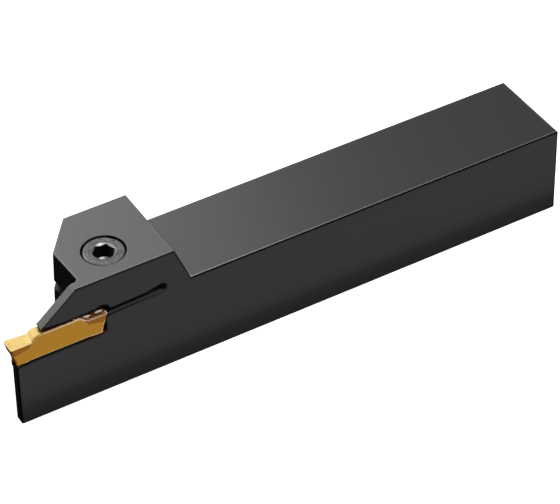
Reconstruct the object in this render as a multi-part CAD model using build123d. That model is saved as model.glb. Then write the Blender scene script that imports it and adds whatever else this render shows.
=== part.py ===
from build123d import *
import math
import os

# A square-shank holder for external grooving and parting: one steel body with a
# spring slot, a double-ended carbide insert in its jaws and the screw that closes them.
# Origin: middle of the shank's base. X runs from the cutting edge to the shank's end,
# -Y is the side that the blade lies flush with, Z is up. Millimetres.

# Shank
shank_width = 20.0
shank_height = 20.0
shank_edge_chamfer = 0.2
shank_end_chamfer = 0.2

# Head
overall_length = 125.0
head_length = 39.0
head_rise = 8.2
head_back_run = 3.3
head_corner_length = 6.4
head_corner_width = 8.3
head_corner_lean = 6.0
head_front_skew = 2.7
head_edge_chamfer = 0.12

# Blade, with the two jaws at its end
blade_thickness = 2.0
blade_reach = 15.7
blade_root_radius = 1.0
lower_jaw_setback = 1.15
lower_jaw_lean = 1.4
lower_jaw_toe_radius = 0.6
lower_jaw_lip_rise = 0.45
lower_jaw_lip_depth = 0.9
lower_jaw_lip_width = 0.5
upper_jaw_setback = 6.6
upper_jaw_land = 1.2
upper_jaw_slope = 40.0
upper_jaw_nose_radius = 0.8
upper_jaw_lip_radius = 0.25
upper_jaw_rise_angle = 2.0

# Grooving insert
insert_length = 20.5
insert_width = 3.5
insert_neck_width = 2.6
insert_body_rise = 0.95
insert_body_drop = 4.5
insert_foot_drop = 0.3
insert_foot_length = 2.9
insert_foot_ramp = 1.0
insert_nose_radius = 0.4
insert_edge_hone = 0.15
rake_length = 4.35
rake_angle = 2.0
ramp_length = 1.2
ramp_radius = 0.7
chip_land = 0.32
chip_groove_depth = 0.1
chip_wall_angle = 70.0
side_relief_angle = 11.5
back_taper_angle = 2.6
shoulder_length = 0.8
end_relief_angles = (10.0, 21.0, 7.0)
end_relief_drops = (1.6, 3.4)

# Seats between the insert and the jaws
vee_angle = 150.0
ridge_width = 0.9
top_vee_setback = 6.8
ridge_end_gap = 0.3
seat_gap = 0.02
upper_side_gap = 0.07
lower_side_gap = 0.9
pocket_back_gap = 0.2
pocket_corner_radius = 1.2
relief_radius = 1.8
relief_setback = 0.95

# Spring slot that lets the upper jaw close
slot_gap = 1.35
slot_mouth_gap = 2.1
slot_angle = 2.0
slot_floor_drop = 1.1
slot_end_distance = 6.5
keyhole_diameter = 2.0
keyhole_taper_length = 3.2

# Clamp screw, an M5 socket head cap screw
thread_diameter = 5.0
screw_length = 16.0
screw_head_diameter = 8.3
screw_head_height = 5.0
screw_head_edge_radius = 0.35
screw_tip_chamfer = 0.6
hex_key_size = 4.0
hex_depth = 3.1
hex_turn = -9.0
hex_mouth_diameter = 5.0
hex_mouth_angle = 120.0
screw_reach = 24.3
screw_offset = 7.3
screw_recess = 0.16
counterbore_gap = 0.35
clearance_gap = 0.25
thread_gap = 0.02
tapped_hole_spare = 2.5
tapped_mouth_chamfer = 0.5
drill_point_angle = 118.0

# Places worked out from the sizes above
shank_length = overall_length - head_length
rear_x = shank_length / 2
foot_x = -shank_length / 2
tip_x = rear_x - overall_length
head_front_x = tip_x + blade_reach
head_top_z = shank_height + head_rise
near_y = -shank_width / 2
far_y = shank_width / 2
blade_mid_y = near_y + blade_thickness / 2
edge_z = shank_height
insert_rear_x = tip_x + insert_length
body_top_z = edge_z + insert_body_rise
body_bottom_z = edge_z - insert_body_drop
lower_jaw_z = body_bottom_z - lower_side_gap
blade_far_y = near_y + blade_thickness
vee_slope = math.tan(math.radians((180 - vee_angle) / 2))
vee_depth = insert_neck_width / 2 * vee_slope
past = 5.0
tiny = 0.001


def at_y(y):
    """Plane of the side views, with X to the rear, Z up and its normal along +Y."""
    return Plane(origin=(0, y, 0), x_dir=(1, 0, 0), z_dir=(0, -1, 0))


def side_plate(face, y_from, y_to):
    """A side view carried across the holder from one Y to another."""
    return extrude(at_y(y_from) * face, -(y_to - y_from))


def slot_floor(x):
    """Height of the slot's floor, which rises a little towards the shank."""
    return edge_z - slot_floor_drop + (x - insert_rear_x) * math.tan(math.radians(slot_angle))


def end_relief(drop):
    """How far the insert's end face has drawn back at a depth under its cutting edge."""
    levels = (0.0,) + end_relief_drops + (math.inf,)
    back = 0.0
    for angle, top, bottom in zip(end_relief_angles, levels, levels[1:]):
        back += max(0.0, min(drop, bottom) - top) * math.tan(math.radians(angle))
    return back


def jaw_front(z):
    """Where the lower jaw's front face stands at a height; it leans out towards its toe."""
    return tip_x + lower_jaw_setback - (lower_jaw_z - z) * math.tan(math.radians(lower_jaw_lean))


def shank_bar():
    """The square bar, with its long edges and its end edges broken."""
    bar = Pos(0, 0, shank_height / 2) * Box(shank_length, shank_width, shank_height)
    end_edges = bar.faces().sort_by(Axis.X)[-1].edges()
    bar = chamfer(end_edges, shank_end_chamfer)
    return chamfer(bar.edges().filter_by(Axis.X), shank_edge_chamfer)


def head_plan():
    """Outline of head and blade from above: the head's front leans back towards the blade's root."""
    skew = math.tan(math.radians(head_front_skew))
    corner_y = far_y - head_corner_width
    root_x = head_front_x + (corner_y - blade_far_y) * skew
    outline = Polyline(
        (foot_x, near_y), (tip_x - past, near_y), (tip_x - past, blade_far_y), (root_x, blade_far_y),
        (head_front_x - head_corner_width * skew, far_y), (foot_x, far_y), close=True)
    face = make_face(outline)
    root = face.vertices().sort_by_distance((root_x, blade_far_y, 0))[0]
    return fillet(root, blade_root_radius)


def head_corner():
    """The wedge taken off the head's far front corner; its cut leans out towards the base."""
    slope = head_corner_width / head_corner_length
    lean = math.tan(math.radians(head_corner_lean))

    def triangle(z):
        width = head_corner_width - (head_top_z - z) * lean
        front_x = head_front_x - past
        outer_y = far_y + past * slope
        return Pos(0, 0, z) * make_face(Polyline(
            (front_x, far_y - width - past * slope), (front_x, outer_y),
            (head_front_x + width / slope + past, outer_y), close=True))

    return loft([triangle(-past), triangle(head_top_z + past)])


def head_side():
    """Outline of head and blade from the side, before the pocket is cut."""
    slope = math.tan(math.radians(upper_jaw_slope))
    slope_top_x = head_front_x - upper_jaw_land
    nose_x = tip_x + upper_jaw_setback
    nose_z = head_top_z - (slope_top_x - nose_x) * slope
    outline = Polyline(
        (foot_x, 0), (jaw_front(0), 0), (jaw_front(edge_z), edge_z), (nose_x, edge_z), (nose_x, nose_z),
        (slope_top_x, head_top_z), (foot_x - head_back_run, head_top_z), (foot_x, shank_height),
        close=True)
    face = make_face(outline)
    toe = face.vertices().sort_by_distance((jaw_front(0), 0, 0))[0]
    face = fillet(toe, lower_jaw_toe_radius)
    nose = face.vertices().sort_by_distance((nose_x, nose_z, 0))[0]
    return fillet(nose, upper_jaw_nose_radius)


def pocket_side():
    """Side view of the insert's pocket between the flats of the two jaws."""
    nose_x = tip_x + upper_jaw_setback
    rise = math.tan(math.radians(upper_jaw_rise_angle))
    lip_z = body_top_z + upper_side_gap
    relief_x = insert_rear_x - relief_setback
    stop_x = insert_rear_x - end_relief(slot_floor_drop) + seat_gap
    front_x = tip_x - past
    outline = Polyline(
        (front_x, lower_jaw_z), (stop_x, lower_jaw_z), (stop_x, edge_z), (relief_x, edge_z),
        (relief_x, lip_z + (relief_x - nose_x) * rise), (nose_x, lip_z), (nose_x, head_top_z),
        (front_x, head_top_z), close=True)
    face = make_face(outline)
    corner = face.vertices().sort_by_distance((stop_x, lower_jaw_z, 0))[0]
    face = fillet(corner, pocket_corner_radius)
    lip = face.vertices().sort_by_distance((nose_x, lip_z, 0))[0]
    face = fillet(lip, upper_jaw_lip_radius)
    return face + Pos(relief_x, edge_z) * Circle(relief_radius)


def slot_side():
    """Side view of the spring slot, which swells into a keyhole at its closed end."""
    radius = keyhole_diameter / 2
    end_x = foot_x - slot_end_distance
    end_z = slot_floor(end_x) + radius
    flare_x = insert_rear_x + relief_setback
    flare = (slot_mouth_gap - slot_gap) / (flare_x - head_front_x)
    front_x = tip_x - past
    band = make_face(Polyline(
        (front_x, slot_floor(front_x)), (end_x, slot_floor(end_x)),
        (end_x, slot_floor(end_x) + slot_gap), (flare_x, slot_floor(flare_x) + slot_gap),
        (front_x, slot_floor(front_x) + slot_gap + (flare_x - front_x) * flare), close=True))
    neck_x = end_x - keyhole_taper_length
    neck_z = slot_floor(neck_x) + slot_gap
    swell = make_face(Polyline(
        (neck_x, neck_z), (neck_x, slot_floor(neck_x)), (end_x, end_z - radius),
        (end_x, end_z + radius), close=True))
    return band + swell + Pos(end_x, end_z) * Circle(radius)


def jaw_ridge(apex_z, root_z, x_from, x_to):
    """A vee ridge along a jaw: its flanks lie in the insert's groove, its root in the jaw."""
    half = ridge_width / 2
    up = 1 if apex_z > root_z else -1
    flank_z = apex_z - up * half * vee_slope
    section = make_face(Polyline(
        (blade_mid_y - half, root_z), (blade_mid_y - half, flank_z), (blade_mid_y, apex_z),
        (blade_mid_y + half, flank_z), (blade_mid_y + half, root_z), close=True))
    return extrude(Plane(origin=(x_from, 0, 0), x_dir=(0, 1, 0), z_dir=(1, 0, 0)) * section, x_to - x_from)


def jaw_lip():
    """Narrow shoulder along the lower jaw's far side, just under the insert."""
    top_z = lower_jaw_z + lower_jaw_lip_rise
    low_z = lower_jaw_z - lower_jaw_lip_depth
    end_x = head_front_x + blade_root_radius
    side = make_face(Polyline(
        (jaw_front(top_z), top_z), (jaw_front(low_z), low_z), (end_x, low_z), (end_x, top_z), close=True))
    return side_plate(side, blade_far_y - lower_jaw_lip_width, blade_far_y + lower_jaw_lip_width)


def screw_holes():
    """Counterbore and clearance hole in the upper jaw, tapped hole in the lower one."""
    x = tip_x + screw_reach
    y = near_y + screw_offset
    seat_z = head_top_z - screw_recess - screw_head_height
    bore_radius = screw_head_diameter / 2 + counterbore_gap
    pass_radius = thread_diameter / 2 + clearance_gap
    tap_radius = thread_diameter / 2 + thread_gap
    tap_top_z = slot_floor(x) + slot_gap / 2
    tap_end_z = seat_z - screw_length - tapped_hole_spare
    point_depth = tap_radius / math.tan(math.radians(drill_point_angle / 2))
    mouth_radius = tap_radius + tapped_mouth_chamfer
    mouth_z = slot_floor(x)
    profile = make_face(Polyline(
        (0, head_top_z + past), (bore_radius, head_top_z + past), (bore_radius, seat_z),
        (pass_radius, seat_z), (pass_radius, tap_top_z), (mouth_radius, tap_top_z), (mouth_radius, mouth_z),
        (tap_radius, mouth_z - tapped_mouth_chamfer), (tap_radius, tap_end_z), (0, tap_end_z - point_depth),
        close=True))
    return Pos(x, y, 0) * revolve(Plane.XZ * profile, Axis.Z)


def holder_body():
    """Shank, head and blade in one piece, with pocket, spring slot and screw hole."""
    body = extrude(head_plan(), head_top_z) & side_plate(head_side(), near_y, far_y)
    body = body - head_corner()
    top_edges = body.faces().sort_by(Axis.Z)[-1].edges()
    body = chamfer(top_edges, head_edge_chamfer)
    base_edges = body.edges().filter_by(Axis.X).filter_by(
        lambda e: e.center().Z < past and abs(e.center().Y) > far_y - shank_edge_chamfer)
    body = chamfer(base_edges, shank_edge_chamfer)
    body = body + shank_bar()
    pocket_back_y = blade_mid_y + insert_width / 2 + pocket_back_gap
    body = body - side_plate(pocket_side(), near_y - past, pocket_back_y)
    body = body - side_plate(slot_side(), near_y - past, far_y + past)
    groove_top_z = body_top_z - vee_depth
    groove_bottom_z = body_bottom_z + vee_depth
    body = body + jaw_ridge(
        groove_top_z + seat_gap, body_top_z + upper_jaw_lip_radius + ridge_width / 2,
        tip_x + top_vee_setback + ridge_end_gap, insert_rear_x - top_vee_setback - ridge_end_gap)
    body = body + jaw_ridge(
        groove_bottom_z - seat_gap, lower_jaw_z - ridge_width / 2,
        tip_x + lower_jaw_setback + lower_jaw_toe_radius,
        insert_rear_x - insert_foot_length)
    body = body + jaw_lip()
    return body - screw_holes()


def insert_side():
    """Side view of the insert: relieved ends, rakes, ramps, raised body and feet."""
    foot_z = body_bottom_z - insert_foot_drop
    rake_drop = rake_length * math.tan(math.radians(rake_angle))
    half = insert_length / 2
    end_points = [(-half + end_relief(drop), edge_z - drop) for drop in end_relief_drops]
    foot_x_out = -half + end_relief(edge_z - foot_z)
    left = [(-half, edge_z)] + end_points + [
        (foot_x_out, foot_z), (-half + insert_foot_length, foot_z),
        (-half + insert_foot_length + insert_foot_ramp, body_bottom_z)]
    rake = [(-half + rake_length + ramp_length, body_top_z), (-half + rake_length, edge_z - rake_drop)]
    right = [(-x, z) for x, z in reversed(left)]
    rake_right = [(-x, z) for x, z in reversed(rake)]
    face = make_face(Polyline(*left, *right, *rake_right, *rake, close=True))
    bends = face.vertices().filter_by(lambda v: edge_z - rake_drop - tiny < v.Y and abs(v.X) < half - tiny)
    return fillet(bends, ramp_radius)


def end_block():
    """The full-width cutting end, tapered back and relieved on both sides."""
    half = insert_width / 2
    neck = insert_neck_width / 2
    rear = half - rake_length * math.tan(math.radians(back_taper_angle))
    outline = Polyline(
        (0, half), (rake_length, rear), (rake_length + shoulder_length, neck - insert_edge_hone),
        (rake_length + shoulder_length, insert_edge_hone - neck), (rake_length, -rear), (0, -half),
        close=True)
    face = make_face(outline)
    face = fillet(face.vertices().filter_by(lambda v: v.X < tiny), insert_nose_radius)
    return extrude(Pos(0, 0, edge_z) * face, -insert_body_drop, taper=side_relief_angle)


def chip_groove():
    """Shallow recess in the rake, leaving a land along the cutting edge and the sides."""
    half = insert_width / 2 - chip_land
    tilt = math.radians(rake_angle)
    rake_plane = Plane(origin=(0, 0, edge_z), x_dir=(math.cos(tilt), 0, -math.sin(tilt)),
                       z_dir=(math.sin(tilt), 0, math.cos(tilt)))
    rear = half - rake_length * math.tan(math.radians(back_taper_angle))
    face = make_face(Polyline(
        (chip_land, half), (rake_length - chip_land, rear), (rake_length - chip_land, -rear),
        (chip_land, -half), close=True))
    face = fillet(face.vertices(), insert_nose_radius)
    return extrude(rake_plane * face, -chip_groove_depth, taper=chip_wall_angle)


def grooving_insert():
    """Double-ended insert: narrow body with vee grooves, and a wide cutting end each way."""
    middle_x = tip_x + insert_length / 2
    side = insert_side()
    neck = side_plate(side, -insert_neck_width / 2, insert_neck_width / 2)
    long_edges = neck.edges().filter_by(Axis.Y, reverse=True)
    neck = chamfer(long_edges, insert_edge_hone)
    wide = side_plate(side, -insert_width, insert_width)
    front = Pos(-insert_length / 2, 0, 0) * end_block()
    solid = neck + (front & wide) + (mirror(front, about=Plane.YZ) & wide)
    groove = Pos(-insert_length / 2, 0, 0) * chip_groove()
    solid = solid - groove - mirror(groove, about=Plane.YZ)
    reach = insert_width
    top_run = insert_length - 2 * top_vee_setback
    groove_top = make_face(Polyline(
        (0, body_top_z - vee_depth), (reach, body_top_z - vee_depth + reach * vee_slope),
        (-reach, body_top_z - vee_depth + reach * vee_slope), close=True))
    groove_bottom = make_face(Polyline(
        (0, body_bottom_z + vee_depth), (reach, body_bottom_z + vee_depth - reach * vee_slope),
        (-reach, body_bottom_z + vee_depth - reach * vee_slope), close=True))
    section_plane = Plane(origin=(-top_run / 2, 0, 0), x_dir=(0, 1, 0), z_dir=(1, 0, 0))
    solid = solid - extrude(section_plane * groove_top, top_run)
    section_plane = Plane(origin=(-insert_length, 0, 0), x_dir=(0, 1, 0), z_dir=(1, 0, 0))
    solid = solid - extrude(section_plane * groove_bottom, 2 * insert_length)
    return Pos(middle_x, blade_mid_y, 0) * solid


def clamp_screw():
    """Socket head cap screw: turned head and shank, hexagon socket with a drilled bottom."""
    seat_z = head_top_z - screw_recess - screw_head_height
    top_z = seat_z + screw_head_height
    head_radius = screw_head_diameter / 2
    shank_radius = thread_diameter / 2
    profile = make_face(Polyline(
        (0, seat_z - screw_length), (shank_radius - screw_tip_chamfer, seat_z - screw_length),
        (shank_radius, seat_z - screw_length + screw_tip_chamfer), (shank_radius, seat_z),
        (head_radius, seat_z), (head_radius, top_z), (0, top_z), close=True))
    rim = profile.vertices().sort_by_distance((head_radius, top_z, 0))[0]
    screw = revolve(Plane.XZ * fillet(rim, screw_head_edge_radius), Axis.Z)
    corner_radius = hex_key_size / math.sqrt(3)
    socket = extrude(Pos(0, 0, top_z) * Rot(0, 0, hex_turn) * RegularPolygon(corner_radius, 6), -hex_depth)
    mouth_radius = hex_mouth_diameter / 2
    mouth_depth = mouth_radius / math.tan(math.radians(hex_mouth_angle / 2))
    mouth = Pos(0, 0, top_z - mouth_depth / 2) * Cone(0, mouth_radius, mouth_depth)
    point_depth = hex_key_size / 2 / math.tan(math.radians(drill_point_angle / 2))
    point = Pos(0, 0, top_z - hex_depth - point_depth / 2) * Cone(0, hex_key_size / 2, point_depth)
    screw = screw - socket - mouth - point
    return Pos(tip_x + screw_reach, near_y + screw_offset, 0) * screw


os.makedirs("parts", exist_ok=True)
export_step(holder_body(), "parts/holder_body.step")
export_step(grooving_insert(), "parts/grooving_insert.step")
export_step(clamp_screw(), "parts/clamp_screw.step")
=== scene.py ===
"""Looks of a square-shank grooving tool holder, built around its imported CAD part.

Metres, in the part's own frame: the origin is the middle of the shank's base, X runs from
the cutting edge to the shank's end, -Y is the side the blade lies flush with, Z is up.
No shape is added: the three CAD nodes get their finishes, and stand in a plain pale studio.
"""
import math

import bpy
from mathutils import Matrix, Vector


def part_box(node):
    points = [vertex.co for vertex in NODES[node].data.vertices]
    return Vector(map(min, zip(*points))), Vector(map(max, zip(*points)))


MM = 0.001

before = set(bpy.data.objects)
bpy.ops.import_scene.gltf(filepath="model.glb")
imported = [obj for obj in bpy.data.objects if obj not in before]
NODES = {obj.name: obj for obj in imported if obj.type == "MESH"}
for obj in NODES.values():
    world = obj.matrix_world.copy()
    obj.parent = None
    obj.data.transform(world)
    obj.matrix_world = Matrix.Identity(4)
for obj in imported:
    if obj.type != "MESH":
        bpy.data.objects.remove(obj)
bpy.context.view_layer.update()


# Camera, at the photograph's viewing angle

CAMERA_PLACE = (-0.21367, -0.34945, 0.35022)
CAMERA_RIGHT = (0.86220, -0.50606, -0.02290)
CAMERA_UP = (0.34401, 0.55173, 0.75977)
CAMERA_BACK = (-0.37185, -0.66295, 0.64978)
CAMERA_LENS = 167.855
CAMERA_SENSOR = 36.0
CAMERA_CLIP = (0.01, 20.0)


def make_camera():
    """A camera whose turning matrix has the right, up and backward directions as columns."""
    data = bpy.data.cameras.new("camera")
    data.lens = CAMERA_LENS
    data.sensor_width = CAMERA_SENSOR
    data.clip_start, data.clip_end = CAMERA_CLIP
    camera = bpy.data.objects.new("camera", data)
    turn = Matrix((CAMERA_RIGHT, CAMERA_UP, CAMERA_BACK)).transposed().to_4x4()
    camera.matrix_world = Matrix.Translation(CAMERA_PLACE) @ turn
    bpy.context.scene.collection.objects.link(camera)
    bpy.context.scene.camera = camera


# Node graphs


class Graph:
    """A node tree that is filled in by short calls."""

    def __init__(self, tree):
        self.tree = tree
        tree.nodes.clear()

    def set(self, socket, value):
        """Links a socket to another, or gives it a fixed value."""
        if isinstance(value, bpy.types.NodeSocket):
            self.tree.links.new(value, socket)
        elif isinstance(value, tuple) and len(value) == 3 and len(socket.default_value) == 4:
            socket.default_value = (*value, 1.0)
        else:
            socket.default_value = value

    def node(self, kind, values=None, **settings):
        """A node with its settings, and with sockets filled from values by name or number."""
        made = self.tree.nodes.new(kind)
        for name, value in settings.items():
            setattr(made, name, value)
        for key, value in (values or {}).items():
            self.set(made.inputs[key], value)
        return made

    def maths(self, operation, *values, clamp=False):
        """The result of a Math node."""
        made = self.node(
            "ShaderNodeMath", dict(enumerate(values)), operation=operation, use_clamp=clamp)
        return made.outputs[0]

    def product(self, *values):
        """Several values multiplied together."""
        result = values[0]
        for value in values[1:]:
            result = self.maths("MULTIPLY", result, value)
        return result

    def linear(self, value, slope, start):
        """A value times a slope, plus a start."""
        return self.maths("MULTIPLY_ADD", value, slope, start)

    def gain(self, mask, amount):
        """One where the mask is nought, and one plus the amount where it is one."""
        return self.linear(mask, amount, 1.0)

    def toned(self, base, changes):
        """A base tone times one gain for each pair of a mask and an amount."""
        return self.product(base, *(self.gain(mask, amount) for mask, amount in changes))

    def sum_of(self, first, share, second, other_share):
        """Two values added together, each times its share."""
        return self.maths("ADD", self.product(first, share), self.product(second, other_share))

    def vector_maths(self, operation, *values, out=0):
        """A result of a Vector Math node."""
        made = self.node("ShaderNodeVectorMath", dict(enumerate(values)), operation=operation)
        return made.outputs[out]

    def smooth(self, value, low, high, to_low=0.0, to_high=1.0):
        """A smooth step of a value from one level to another."""
        made = self.node("ShaderNodeMapRange", {
            "Value": value, "From Min": low, "From Max": high,
            "To Min": to_low, "To Max": to_high}, interpolation_type="SMOOTHSTEP")
        return made.outputs["Result"]

    def zone(self, *steps):
        """A mask made of smooth steps, each of a value from nought at one place to one at
        another, in millimetres, all multiplied together."""
        return self.product(*(self.smooth(v, start * MM, end * MM) for v, start, end in steps))

    def blend(self, share, first, second):
        """A mix of two colours."""
        made = self.node("ShaderNodeMix", {"Factor": share}, data_type="RGBA")
        self.set(made.inputs[6], first)
        self.set(made.inputs[7], second)
        return made.outputs[2]

    def parts(self, vector):
        """The three components of a vector."""
        return list(self.node("ShaderNodeSeparateXYZ", {0: vector}).outputs)

    def point(self, x, y=0.0):
        """A vector with two given components."""
        return self.node("ShaderNodeCombineXYZ", {0: x, 1: y}).outputs[0]

    def place(self):
        """The point of the part that is shaded, in the part's own frame."""
        return self.node("ShaderNodeTexCoord").outputs["Object"]

    def way(self):
        """The way the shaded face looks, in the part's own frame."""
        return self.node("ShaderNodeTexCoord").outputs["Normal"]

    def noise(self, place, scale, detail=2.0, roughness=0.5):
        """The value of a Noise Texture, about one half on average."""
        made = self.node("ShaderNodeTexNoise", {
            "Vector": place, "Scale": scale, "Detail": detail, "Roughness": roughness})
        return made.outputs["Fac"]

    def effect(self, group, values=None):
        """A node group placed in a material, with its own values."""
        made = self.tree.nodes.new("ShaderNodeGroup")
        made.node_tree = group
        for key, value in (values or {}).items():
            self.set(made.inputs[key], value)
        return made.outputs


def make_group(name, inputs, outputs, fill):
    """A shader node group with named inputs and outputs, filled in by a function."""
    tree = bpy.data.node_groups.new(name, "ShaderNodeTree")
    for label, kind, default in inputs:
        socket = tree.interface.new_socket(name=label, in_out="INPUT", socket_type=kind)
        socket.default_value = default
    for label, kind in outputs:
        tree.interface.new_socket(name=label, in_out="OUTPUT", socket_type=kind)
    graph = Graph(tree)
    entry = graph.node("NodeGroupInput").outputs
    graph.node("NodeGroupOutput", fill(graph, entry))
    return tree


# Effects that the finishes share

FINE_SHARE, COARSE_SHARE = 0.65, 0.35
COARSE_SCALE = 0.31


def fill_grain(graph, entry):
    """Even grain of an oxidised or coated face: two sizes of noise about a mean of one half."""
    place = graph.place()
    fine = graph.noise(place, entry["Scale"], 3.0, 0.6)
    coarse = graph.noise(place, graph.product(entry["Scale"], COARSE_SCALE), 2.0)
    return {"Value": graph.sum_of(fine, FINE_SHARE, coarse, COARSE_SHARE)}


def fill_lay(graph, entry):
    """Lay of a ground or milled face: noise drawn out along one way by the stretch vector."""
    stretched = graph.vector_maths("MULTIPLY", graph.place(), entry["Stretch"])
    return {"Value": graph.noise(stretched, 1.0, 4.0, 0.7)}


def fill_drift(graph, entry):
    """Slow drift of tone over a face, from minus one half to one half."""
    slow = graph.noise(graph.place(), entry["Scale"], 1.0, 0.4)
    return {"Value": graph.maths("SUBTRACT", slow, 0.5)}


# Limits of the turn, which is one minus the cosine between rounded and flat normals
LINE_TURN = (0.018, 0.06)
RIM_TURN = (0.003, 0.03)
REAL_EDGE_TURN = (0.004, 0.02)


def fill_edge(graph, entry):
    """Nearness to an edge: how far a normal rounded over the radius turns from the flat one.

    Line is a thin band along the edge and Rim a wider one. The normal given out is rounded
    where facets of a curved face meet, and flat beside a real edge.
    """
    rounded = graph.node("ShaderNodeBevel", {"Radius": entry["Radius"]}, samples=6).outputs[0]
    flat = graph.node("ShaderNodeNewGeometry").outputs["True Normal"]
    alike = graph.vector_maths("DOT_PRODUCT", rounded, flat, out=1)
    turned = graph.maths("SUBTRACT", 1.0, alike)
    apart = graph.vector_maths("SUBTRACT", flat, rounded)
    steer = graph.vector_maths("MULTIPLY", apart, graph.smooth(turned, *REAL_EDGE_TURN))
    normal = graph.vector_maths("NORMALIZE", graph.vector_maths("ADD", rounded, steer))
    return {"Normal": normal, "Line": graph.smooth(turned, *LINE_TURN),
            "Rim": graph.smooth(turned, *RIM_TURN)}


# Limits of the components of a face's way that tell one kind of face from another
LEVEL_FACE = (0.92, 0.98)
FRONT_FACE = (-0.90, -0.97)
BROKEN_FACE = (0.50, 0.62)
SLANT_LIFT_LEAST, SLANT_LIFT_MOST, SLANT_LEAN = (0.60, 0.70), (0.90, 0.82), (-0.50, -0.60)


def fill_facing(graph, _):
    """Masks of the way a face looks in the part's own frame.

    Up and Side are level with Z and with Y, Front looks to the cutting end, Slant is the
    jaw's slope, Broken an edge's chamfer, and Lift the upward component itself.
    """
    x, y, z = graph.parts(graph.way())
    across = graph.maths("ABSOLUTE", y)
    other = graph.maths("MAXIMUM", graph.maths("ABSOLUTE", x), graph.maths("ABSOLUTE", z))
    slant = graph.product(
        graph.smooth(z, *SLANT_LIFT_LEAST), graph.smooth(z, *SLANT_LIFT_MOST),
        graph.smooth(x, *SLANT_LEAN))
    return {"Up": graph.smooth(z, *LEVEL_FACE), "Side": graph.smooth(across, *LEVEL_FACE),
            "Front": graph.smooth(x, *FRONT_FACE), "Slant": slant,
            "Broken": graph.smooth(graph.maths("MINIMUM", across, other), *BROKEN_FACE),
            "Lift": z}


FLOAT, VECTOR = "NodeSocketFloat", "NodeSocketVector"
FACES = ("Up", "Side", "Front", "Slant", "Broken", "Lift")
GRAIN = make_group("grain", [("Scale", FLOAT, 3000.0)], [("Value", FLOAT)], fill_grain)
LAY = make_group("lay", [("Stretch", VECTOR, (1.0, 1.0, 1.0))], [("Value", FLOAT)], fill_lay)
DRIFT = make_group("drift", [("Scale", FLOAT, 30.0)], [("Value", FLOAT)], fill_drift)
EDGE = make_group("edge", [("Radius", FLOAT, 0.2 * MM)],
                  [("Normal", VECTOR), ("Line", FLOAT), ("Rim", FLOAT)], fill_edge)
FACING = make_group("facing", [], [(face, FLOAT) for face in FACES], fill_facing)


def new_material(name):
    """A material with an empty node tree, and the graph that fills it."""
    material = bpy.data.materials.new(name)
    material.use_nodes = True
    return material, Graph(material.node_tree)


def finish(graph, colour, rough, metallic, relief, strength, depth, normal):
    """The metal shader at the end of a finish, with a fine bump over the rounded normal."""
    bump = graph.node("ShaderNodeBump", {
        "Height": relief, "Strength": strength, "Distance": depth, "Normal": normal})
    shader = graph.node("ShaderNodeBsdfPrincipled", {
        "Base Color": colour, "Roughness": rough, "Metallic": metallic,
        "Normal": bump.outputs[0]})
    graph.node("ShaderNodeOutputMaterial", {"Surface": shader.outputs[0]})


def from_screw_axis(graph):
    """Distance of the shaded point from the clamp screw's upright axis."""
    middle = tuple((low + high) / 2 for low, high in zip(*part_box("clamp_screw")))
    offset = graph.vector_maths("SUBTRACT", graph.place(), middle)
    level = graph.vector_maths("MULTIPLY", offset, (1.0, 1.0, 0.0))
    return graph.vector_maths("LENGTH", level, out=1)


# Finishes. Scales of noise are in turns per metre.

STEEL_TONE = 0.085
STEEL_METALLIC = 0.6
GROUND_LAY = (60.0, 5200.0, 5200.0)
MILLED_LAY = (3200.0, 900.0, 3200.0)
# Strengths of the painted highlight along the top faces' edges, on the shank and on the head.
SHANK_HIGHLIGHT_GAIN, HEAD_HIGHLIGHT_GAIN = 4.40, 1.20
# Painted reflection of the insert: red-brown gains for the pocket's walls.
POCKET_REFLECTION_TINT = (1.2, -0.3, -0.5)


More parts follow.
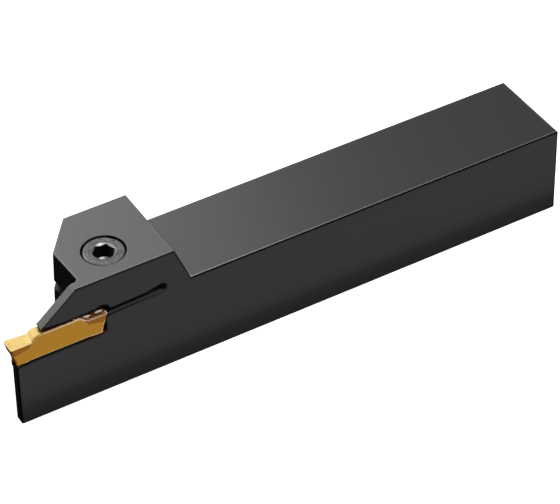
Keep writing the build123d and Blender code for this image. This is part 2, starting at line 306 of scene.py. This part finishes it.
def blackened_steel():
    """Dark oxidised steel, finely ground; its edges are broken, its jaw slope is milled.

    Painted light and shade: the head's top is lighter, a painted highlight runs along the top
    faces' edges, and painted shade lines run beside them on the sides. The low top faces are
    lighter, with a painted shade line at their edge and painted shade deeper into the slot; the
    chamfers and the faces to the cutting end carry painted shade, and the pocket's walls a painted
    red-brown reflection of the insert.
    """
    material, graph = new_material("blackened_steel")
    facing = graph.effect(FACING)
    edge = graph.effect(EDGE, {"Radius": 0.65 * MM})
    grain = graph.effect(GRAIN, {"Scale": 5200.0})[0]
    lay = graph.effect(LAY, {"Stretch": GROUND_LAY})[0]
    milled = graph.effect(LAY, {"Stretch": MILLED_LAY})[0]
    drift = graph.effect(DRIFT, {"Scale": 24.0})[0]
    along, across, height = graph.parts(graph.place())

    head = graph.zone((height, 24.0, 25.0))
    above = graph.zone((height, 19.0, 19.8))
    # Painted light: the head's top face is made lighter than the shank's top.
    head_top = graph.product(facing["Up"], head)
    # Painted light and shade on the low top faces, such as the slot's floor: lighter, with a
    # painted shade line along their edges and painted shade deeper into the slot.
    low_top = graph.product(facing["Up"], graph.maths("SUBTRACT", 1.0, above))
    slot_shade = graph.product(low_top, graph.zone((across, -9.4, -8.8)))

    # Painted highlight along the top faces' edges, stronger toward the near side and kept clear of
    # the screw.
    clear_of_screw = graph.zone((from_screw_axis(graph), 5.2, 5.8))
    nearer = graph.smooth(across, 6.0 * MM, -2.0 * MM, 0.3, 1.0)
    crest = graph.product(
        clear_of_screw, nearer, graph.sum_of(edge["Rim"], 0.25, edge["Line"], 0.75))
    painted_edge_highlight = graph.product(graph.product(facing["Up"], above), crest)
    highlight_gain = graph.linear(head, HEAD_HIGHLIGHT_GAIN - SHANK_HIGHLIGHT_GAIN, SHANK_HIGHLIGHT_GAIN)

    # Painted shade: dark lines beside the edges of the side faces, mostly left out beside the
    # insert, and a wider painted shade band beside the edges of the side faces above the shank's
    # top.
    beside_insert = graph.zone((along, -78.6, -78.2), (along, -61.6, -62.2), (height, 17.4, 17.0))
    side_shade_line = graph.product(facing["Side"], edge["Line"], graph.gain(beside_insert, -0.9))
    head_rim_shade = graph.product(facing["Side"], edge["Rim"], graph.zone((height, 20.2, 20.6)))

    tone = graph.toned(STEEL_TONE, (
        (head_top, 0.20),
        (painted_edge_highlight, highlight_gain),
        (side_shade_line, -0.97),
        (head_rim_shade, -0.90),
        (low_top, 0.65),
        (graph.product(low_top, edge["Line"]), -0.95),
        (slot_shade, -0.88),
        # Painted shade: the chamfers and the faces that look to the cutting end are made darker.
        (facing["Broken"], -0.97),
        (facing["Front"], -0.75),
        (graph.product(facing["Slant"], graph.maths("SUBTRACT", milled, 0.5)), 1.6),
        (drift, 0.06),
        (graph.maths("SUBTRACT", lay, 0.5), 0.10)))
    # Painted reflection: the pocket's walls get a red-brown tint from the insert beside them.
    pocket = graph.product(graph.maths("SUBTRACT", 1.0, facing["Side"]), graph.zone(
        (across, -6.2, -6.5), (along, -67.6, -67.2), (along, -61.0, -61.3),
        (height, 12.6, 13.0), (height, 22.4, 22.0)))
    colour = graph.node("ShaderNodeCombineColor", {
        channel: graph.toned(tone, [(pocket, tint)])
        for channel, tint in enumerate(POCKET_REFLECTION_TINT)}).outputs[0]

    rough = graph.linear(grain, 0.06, 0.31)
    # The painted shade lines and the chamfers are made fully metallic, which darkens them further.
    dark = graph.maths("MAXIMUM", graph.maths("MAXIMUM", side_shade_line, head_rim_shade), facing["Broken"])
    metallic = graph.linear(dark, 1.0 - STEEL_METALLIC, STEEL_METALLIC)
    relief = graph.sum_of(grain, 0.6, lay, 0.4)
    finish(graph, colour, rough, metallic, relief, 0.12, 0.02 * MM, edge["Normal"])
    return material


SIDE_GOLDS = (1.0, 0.455, 0.040), (1.0, 0.495, 0.050)
# Painted shade: darker, redder golds for the faces to the cutting end and the faces that look down.
SHADED_FRONT_GOLD = (0.90, 0.200, 0.008)
SHADED_UNDER_GOLD = (0.76, 0.295, 0.020)
# Painted reflection: a paler gold for the faces that look up, standing in for the sheen of light
# off the rake and ramp.
SHEEN_RAKE_GOLD = (0.595, 0.412, 0.127)
# Painted shade: the top behind the jaw is dark brown, for the shade there and the dark pocket it
# reflects.
SHADED_SEATED_BROWN = (0.30, 0.085, 0.020)
# Painted light: a paler gold in the rake's dish, which hides the shade of its sloped walls.
LIT_DISH_GOLD = (0.95, 0.68, 0.24)
# Painted highlights: two pale ovals on the rear rake.
HIGHLIGHT_WHITE = (1.0, 0.93, 0.82)
FLECK_GOLD = (1.0, 0.72, 0.26)
# Painted highlight along the insert's edges.
EDGE_HIGHLIGHT_GOLD = (1.0, 0.80, 0.50)
# Places and sizes of the two painted highlights on the rear rake.
SPOTS_ALONG, SPOTS_APART, SPOTS_ACROSS = -64.0 * MM, 1.3 * MM, -9.1 * MM
SPOT_HALF_LENGTH, SPOT_HALF_WIDTH = 0.85 * MM, 0.30 * MM
COATING_METALLIC, PALE_METALLIC = 0.53, 0.07


def rear_rake_highlights(graph, along, across):
    """Two painted highlights on the rear rake, as pale ovals: a mask from the distance to the
    nearer one's middle, in half-sizes.
    """
    from_between = graph.maths("ABSOLUTE", graph.maths("SUBTRACT", along, SPOTS_ALONG))
    from_middle = graph.maths("SUBTRACT", from_between, SPOTS_APART)
    inward = graph.maths("SUBTRACT", across, SPOTS_ACROSS)
    sizes = graph.point(graph.maths("DIVIDE", from_middle, SPOT_HALF_LENGTH),
                        graph.maths("DIVIDE", inward, SPOT_HALF_WIDTH))
    return graph.smooth(graph.vector_maths("LENGTH", sizes, out=1), 1.15, 0.75)


def gold_coating():
    """Gold-coloured hard coating over ground carbide, with painted light and shade laid over it.

    Each colour is laid over the one before: sides, painted shade on the front and under the
    rake, a painted sheen on the rake and ramp, painted shade on the seated part behind the jaw,
    painted light in the dish, two painted highlights, flecks and last painted highlights along
    the edges.
    """
    material, graph = new_material("gold_coating")
    facing = graph.effect(FACING)
    lift = facing["Lift"]
    edge = graph.effect(EDGE, {"Radius": 0.40 * MM})
    grain = graph.effect(GRAIN, {"Scale": 7000.0})[0]
    drift = graph.effect(DRIFT, {"Scale": 260.0})[0]
    fleck = graph.smooth(graph.effect(GRAIN, {"Scale": 1500.0})[0], 0.62, 0.72)
    along, across, _ = graph.parts(graph.place())

    up = graph.smooth(lift, 0.30, 0.60)
    under = graph.smooth(lift, -0.10, -0.20)
    upright = graph.smooth(graph.maths("ABSOLUTE", lift), 0.30, 0.10)
    # Painted shade on the top behind the jaw.
    seated = graph.product(up, graph.zone((along, -75.2, -74.6)))
    # Painted light in the rake's dish.
    dish = graph.product(graph.smooth(lift, 0.985, 0.95), up, graph.zone((along, -77.0, -77.4)))
    highlight_spot = graph.product(seated, rear_rake_highlights(graph, along, across))
    # Painted highlight along the edges of the upright faces and the near edge of the top behind the
    # jaw.
    seated_rim = graph.product(seated, graph.zone((across, -9.55, -9.70)))
    highlight_rim = graph.product(edge["Rim"], graph.maths("MAXIMUM", upright, seated_rim),
                        graph.zone((along, -79.6, -79.0)))

    colour = graph.blend(graph.maths("ADD", drift, 0.5, clamp=True), *SIDE_GOLDS)
    for share, laid in (
            (facing["Front"], SHADED_FRONT_GOLD),
            (under, SHADED_UNDER_GOLD),
            (up, SHEEN_RAKE_GOLD),
            (seated, SHADED_SEATED_BROWN),
            (dish, LIT_DISH_GOLD),
            (highlight_spot, HIGHLIGHT_WHITE),
            (graph.product(fleck, 0.12), FLECK_GOLD),
            (graph.product(highlight_rim, 0.9), EDGE_HIGHLIGHT_GOLD)):
        colour = graph.blend(share, colour, laid)

    rough = graph.linear(grain, 0.03, 0.255)
    # Where light and highlights are painted, the coating is made nearly non-metallic.
    pale = graph.maths("MAXIMUM", graph.maths("MAXIMUM", highlight_rim, dish), highlight_spot)
    metallic = graph.linear(pale, PALE_METALLIC - COATING_METALLIC, COATING_METALLIC)
    finish(graph, colour, rough, metallic, grain, 0.03, 0.01 * MM, edge["Normal"])
    return material


SCREW_METALLIC = 0.7
# The way a cone's face must look for its painted highlight.
HIGHLIGHT_WAY = (-0.53, -0.85, 0.0)


def screw_oxide():
    """Mid-grey oxide of a hardened socket screw, with the rings of its turned head.

    The cones at the socket's mouth and floor are painted lighter, with a painted highlight on
    their near part; the socket's walls carry painted shade, and a painted highlight rings the
    head's outer edge.
    """
    material, graph = new_material("screw_oxide")
    edge = graph.effect(EDGE, {"Radius": 0.15 * MM})
    grain = graph.effect(GRAIN, {"Scale": 2600.0})[0]
    radius = from_screw_axis(graph)
    rings = graph.noise(graph.point(radius), 3600.0, 2.0)
    mottle = graph.sum_of(grain, 0.6, rings, 0.4)

    way = graph.way()
    lift = graph.parts(way)[2]
    socket = graph.zone((radius, 2.75, 2.65))
    # Painted shade on the socket's walls.
    shaded_wall = graph.product(socket, graph.smooth(lift, 0.30, 0.10))
    # Painted light on the cones at the socket's mouth and floor, with a painted highlight on the
    # part of them that looks toward the near side and the cutting end.
    cone = graph.product(socket, graph.smooth(lift, 0.97, 0.92), graph.smooth(lift, 0.60, 0.75))
    toward = graph.vector_maths("DOT_PRODUCT", way, HIGHLIGHT_WAY, out=1)
    painted_highlight = graph.product(cone, graph.smooth(toward, 0.32, 0.47))

    face = graph.smooth(mottle, 0.38, 0.62, 0.025, 0.19)
    mouth = graph.sum_of(cone, 0.14, painted_highlight, 0.40)
    # Painted highlight: a lighter ring along the head's outer edge.
    highlight_rim = graph.product(graph.zone((radius, 3.7, 3.95)), 0.09)
    tone = graph.toned(
        graph.maths("ADD", face, graph.maths("ADD", highlight_rim, mouth)), [(shaded_wall, -0.93)])
    rough = graph.linear(grain, 0.14, 0.30)
    finish(graph, tone, rough, SCREW_METALLIC, mottle, 0.22, 0.03 * MM, edge["Normal"])
    return material


def dress(node, material):
    """Gives a node one finish all over."""
    node.data.materials.clear()
    node.data.materials.append(material)


# Floor and light

WHITE = (1.0, 1.0, 1.0)
FLOOR_REACH = 6.0
FLOOR_DROP = 0.05 * MM
FLOOR_GREY = (0.8, 0.8, 0.8)
FLOOR_GLOW = 0.82
ROOM_SEEN = 0.98


def make_floor():
    """A plain pale floor, which is left out of reflections and is not seen from below."""
    data = bpy.data.meshes.new("floor")
    far = FLOOR_REACH
    corners = [(-far, -far, 0), (far, -far, 0), (far, far, 0), (-far, far, 0)]
    data.from_pydata(corners, [], [(0, 1, 2, 3)])
    floor = bpy.data.objects.new("floor", data)
    floor.location.z = -FLOOR_DROP
    bpy.context.scene.collection.objects.link(floor)
    material, graph = new_material("floor_card")
    card = graph.node("ShaderNodeBsdfDiffuse", {"Color": FLOOR_GREY})
    lit = graph.node("ShaderNodeEmission", {"Color": WHITE, "Strength": FLOOR_GLOW})
    both = graph.node("ShaderNodeAddShader", {0: card.outputs[0], 1: lit.outputs[0]})
    clear = graph.node("ShaderNodeBsdfTransparent")
    under = graph.node("ShaderNodeNewGeometry").outputs["Backfacing"]
    shown = graph.node("ShaderNodeMixShader", {
        0: under, 1: both.outputs[0], 2: clear.outputs[0]})
    graph.node("ShaderNodeOutputMaterial", {"Surface": shown.outputs[0]})
    data.materials.append(material)
    floor.visible_diffuse = floor.visible_glossy = floor.visible_transmission = False


def make_world():
    """Low light from all round, stronger level with the part and in front.

    The camera sees a pale room in its place.
    """
    world = bpy.data.worlds.new("room")
    world.use_nodes = True
    bpy.context.scene.world = world
    graph = Graph(world.node_tree)
    _, y, z = graph.parts(graph.node("ShaderNodeTexCoord").outputs["Generated"])
    above = graph.smooth(z, -0.1, 0.8, 0.01, 0.09)
    level = graph.smooth(graph.maths("ABSOLUTE", z), 0.30, 0.05, 0.0, 0.20)
    ahead = graph.product(graph.smooth(y, 0.0, -0.5), graph.smooth(z, 0.0, 0.3), 0.25)
    light = graph.maths("ADD", graph.maths("ADD", above, level), ahead)
    seen = graph.node("ShaderNodeLightPath").outputs["Is Camera Ray"]
    strength = graph.node("ShaderNodeMix", {"Factor": seen, 2: light, 3: ROOM_SEEN},
                          data_type="FLOAT").outputs[0]
    back = graph.node("ShaderNodeBackground", {"Color": WHITE, "Strength": strength})
    graph.node("ShaderNodeOutputWorld", {"Surface": back.outputs[0]})


MIDDLE, LOW_MIDDLE = (-0.02, 0.0, 0.015), (0.0, 0.0, 0.012)

# Each panel's name, place, the point it faces, its width and height, its radiance, and
# whether it shows in reflections. The cards lie just over the floor and face up; they and
# the fills light the near, far and end sides, the key and the overhead the tops, and the
# side sheet the jaw's slope.
PANELS = (
    ("key", (-0.02, 0.34, 0.34), (-0.04, 0.0, 0.02), (0.34, 0.30), 2.1, True),
    ("front_card", (-0.010, -0.050, 0.0008), (-0.010, -0.050, 1.0), (0.26, 0.072), 0.22, True),
    ("side_sheet", (-0.35, 0.38, 0.30), (-0.07, 0.0, 0.02), (0.27, 0.27), 3.1, True),
    ("front_fill", (0.24, -0.41, 0.65), MIDDLE, (0.16, 0.16), 46.0, False),
    ("overhead", (0.07, -0.08, 0.60), MIDDLE, (0.34, 0.22), 2.5, True),
    ("left_sheet", (-0.80, 0.0, 0.12), MIDDLE, (0.40, 0.40), 0.2, True),
    ("back_card", (0.035, 0.052, 0.0008), (0.035, 0.052, 1.0), (0.17, 0.078), 0.30, True),
    ("end_card", (0.085, 0.016, 0.0008), (0.085, 0.016, 1.0), (0.07, 0.06), 0.30, True),
    ("back_fill", (0.02, 0.60, 0.06), LOW_MIDDLE, (0.30, 0.08), 20.0, False),
    ("end_fill", (0.60, 0.12, 0.06), LOW_MIDDLE, (0.30, 0.08), 20.0, False),
)


def make_panel(name, place, aim, size, radiance, glossy):
    """A soft light panel that the camera does not see; power is pi times area times radiance."""
    data = bpy.data.lights.new(name, "AREA")
    data.shape = "RECTANGLE"
    data.size, data.size_y = size
    data.energy = math.pi * size[0] * size[1] * radiance
    panel = bpy.data.objects.new(name, data)
    panel.location = place
    panel.rotation_mode = "QUATERNION"
    panel.rotation_quaternion = (Vector(aim) - Vector(place)).to_track_quat("-Z", "Y")
    panel.visible_camera = False
    panel.visible_glossy = glossy
    bpy.context.scene.collection.objects.link(panel)


make_camera()
make_world()
make_floor()
for panel_values in PANELS:
    make_panel(*panel_values)
bpy.context.scene.view_settings.view_transform = "Standard"

dress(NODES["holder_body"], blackened_steel())
dress(NODES["grooving_insert"], gold_coating())
dress(NODES["clamp_screw"], screw_oxide())
